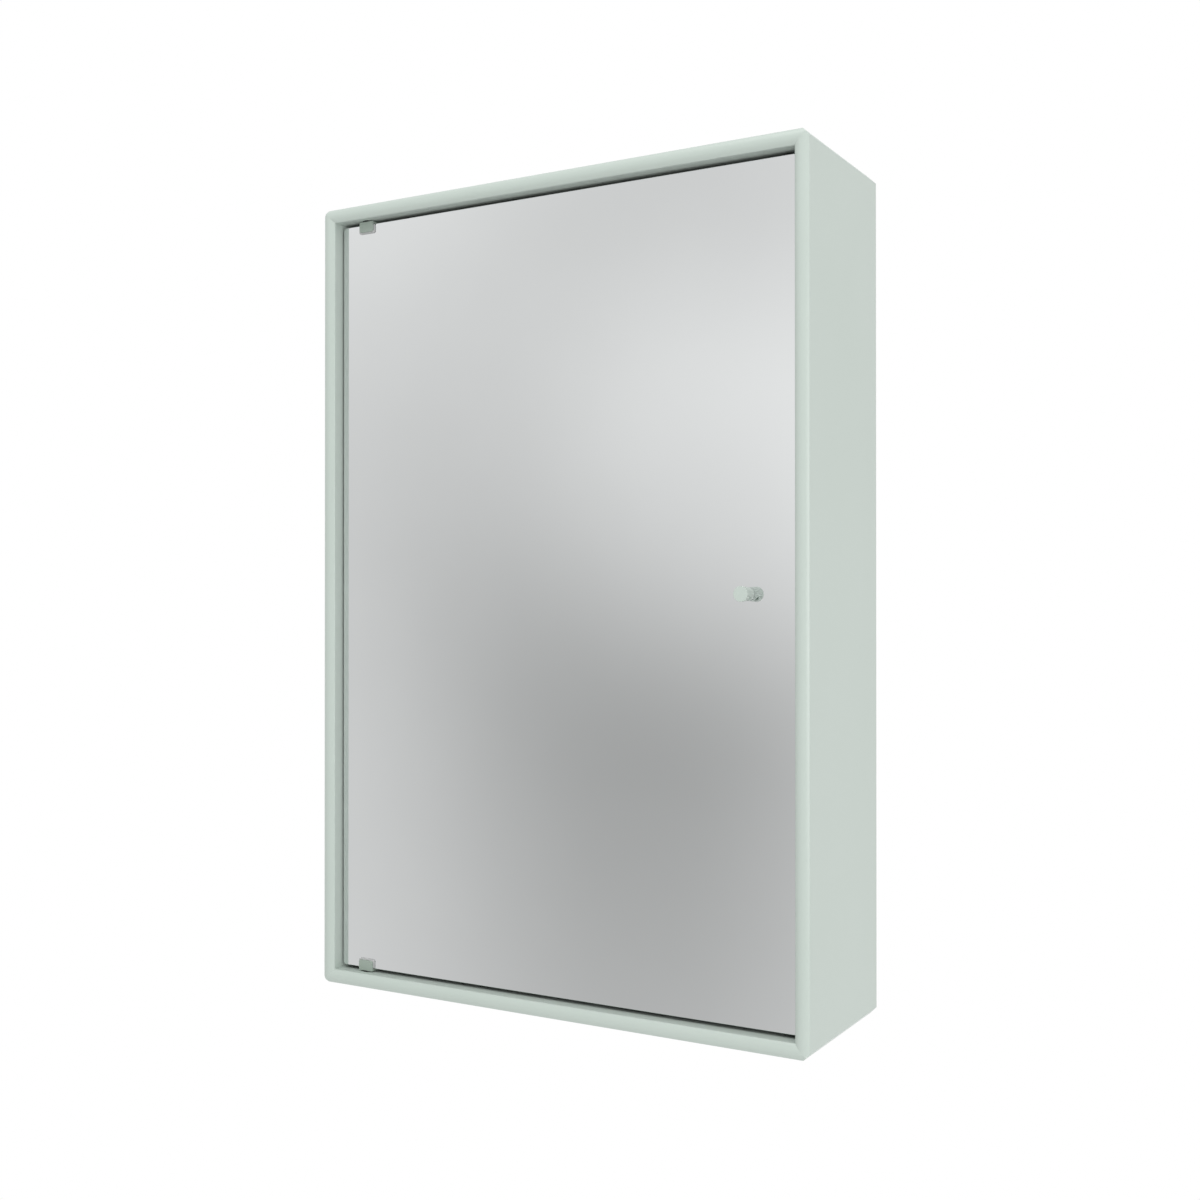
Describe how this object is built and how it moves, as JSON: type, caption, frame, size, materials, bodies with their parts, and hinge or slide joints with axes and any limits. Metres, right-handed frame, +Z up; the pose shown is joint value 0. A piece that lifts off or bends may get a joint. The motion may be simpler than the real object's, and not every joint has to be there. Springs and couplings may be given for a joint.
{
  "type": "mirror_cabinet",
  "caption": "Wall-hung cabinet of mitred lacquered boards with crowned front edges, glass shelves behind an inset mirror door on pivot clips, a small turned knob and a magnetic catch.",
  "frame": {"origin": "The middle of the cabinet's rear face, which is also the middle of the four wall holes.", "axes": "+Z is up, +X is to the right for someone who looks at the mirror, and +Y points into the wall."},
  "size_m": [0.468, 0.1535, 0.696],
  "materials": {
    "lacquered_board": "satin lacquer, pale grey-green",
    "painted_knob": "satin lacquer, pale grey-green",
    "painted_clip": "satin paint, grey-green",
    "mirror_silver": "polished",
    "backing_film": "matt film",
    "shelf_glass": "clear, polished edges",
    "clear_plastic": "translucent",
    "nylon": "natural white",
    "black_nylon": "black",
    "zinc_steel": "zinc plated",
    "magnet_ferrite": "sintered, dark grey",
    "tongue_wood": "plywood"
  },
  "bodies": {
    "case": {"side_left": "lacquered_board", "side_right": "lacquered_board", "top_panel": "lacquered_board", "bottom_panel": "lacquered_board", "back_panel": "lacquered_board", "mitre_splines": "tongue_wood", "upper_shelf": "shelf_glass", "lower_shelf": "shelf_glass", "upper_shelf_pins": "zinc_steel", "lower_shelf_pins": "zinc_steel", "top_pivot_bush": "black_nylon", "bottom_pivot_bush": "black_nylon", "catch_housing": "nylon", "catch_magnet": "magnet_ferrite", "catch_pole_plates": "zinc_steel", "catch_screws": "zinc_steel"},
    "door": {"mirror_glass": "mirror_silver", "mirror_backing": "backing_film", "knob": "painted_knob", "knob_screw": "zinc_steel", "knob_sleeve": "clear_plastic", "knob_washer": "nylon", "strike_plate": "zinc_steel", "top_hinge_clip": "painted_clip", "top_front_pad": "clear_plastic", "top_rear_pad": "nylon", "top_clamp_screw": "zinc_steel", "top_pivot_pin": "zinc_steel", "bottom_hinge_clip": "painted_clip", "bottom_front_pad": "clear_plastic", "bottom_rear_pad": "nylon", "bottom_clamp_screw": "zinc_steel", "bottom_pivot_pin": "zinc_steel"}
  },
  "joints": [
    {"name": "door_hinge", "type": "hinge", "parent": "case", "child": "door", "pos_m": [-0.1925, -0.136, 0], "axis": [0, 0, -1], "range_deg": [0, 150]}
  ]
}
